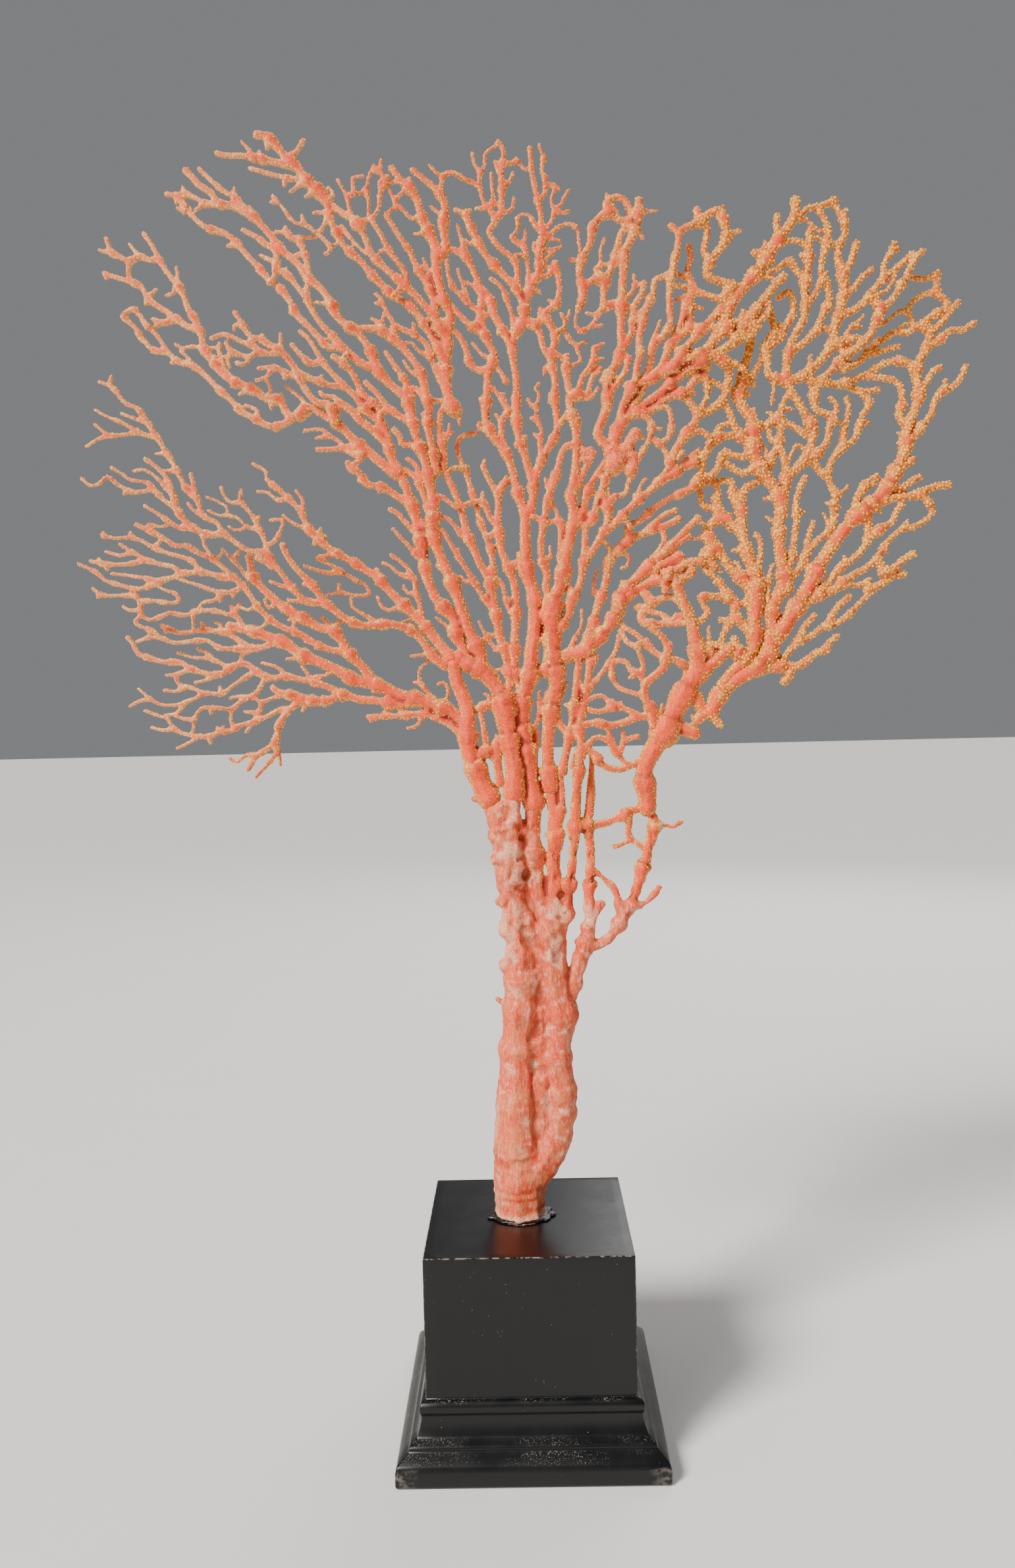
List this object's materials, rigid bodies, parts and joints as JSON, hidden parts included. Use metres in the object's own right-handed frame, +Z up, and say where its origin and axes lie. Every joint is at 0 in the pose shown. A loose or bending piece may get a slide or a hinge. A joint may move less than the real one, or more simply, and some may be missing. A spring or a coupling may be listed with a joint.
{
  "type": "sea fan",
  "caption": "Dried branching sea fan, flat and spreading, standing on a square black plinth block with a moulded foot, for display on a table or shelf.",
  "frame": {"origin": "centre of the plinth's flat underside", "axes": "+Z up the stem, the fan lies along X, and its front, as pictured, faces -Y"},
  "size_m": [0.3634, 0.1022, 0.5179],
  "materials": {
    "coral": "matte, dry coral rind: salmon pink limbs, orange crevices, cream and yellow calyx bumps",
    "bark": "matte, granular and fibrous stem rind in dull red with cream patches",
    "lacquer": "satin black lacquer over wood",
    "glue": "dark set glue, slightly glossy"
  },
  "bodies": {
    "root": {"stem": "bark", "fork_centre": "coral", "fork_left": "coral", "limb_left_low": "coral", "limb_left_arm": "coral", "limb_left_mid": "coral", "limb_centre_left": "coral", "limb_top_left": "coral", "limb_left_top": "coral", "limb_upper_left": "coral", "limb_left_crown": "coral", "limb_centre_fan": "coral", "limb_crown_left": "coral", "limb_crown": "coral", "limb_centre": "coral", "limb_centre_right": "coral", "limb_right_arm": "coral", "limb_right_web": "coral", "limb_right_inner": "coral", "limb_right_low": "coral", "limb_right_back": "coral", "limb_right_far": "coral", "limb_right_mid": "coral", "limb_inner_right": "coral", "limb_diagonal": "coral", "limb_right_crown": "coral", "plinth": "lacquer", "glue_bead": "glue"}
  },
  "joints": []
}
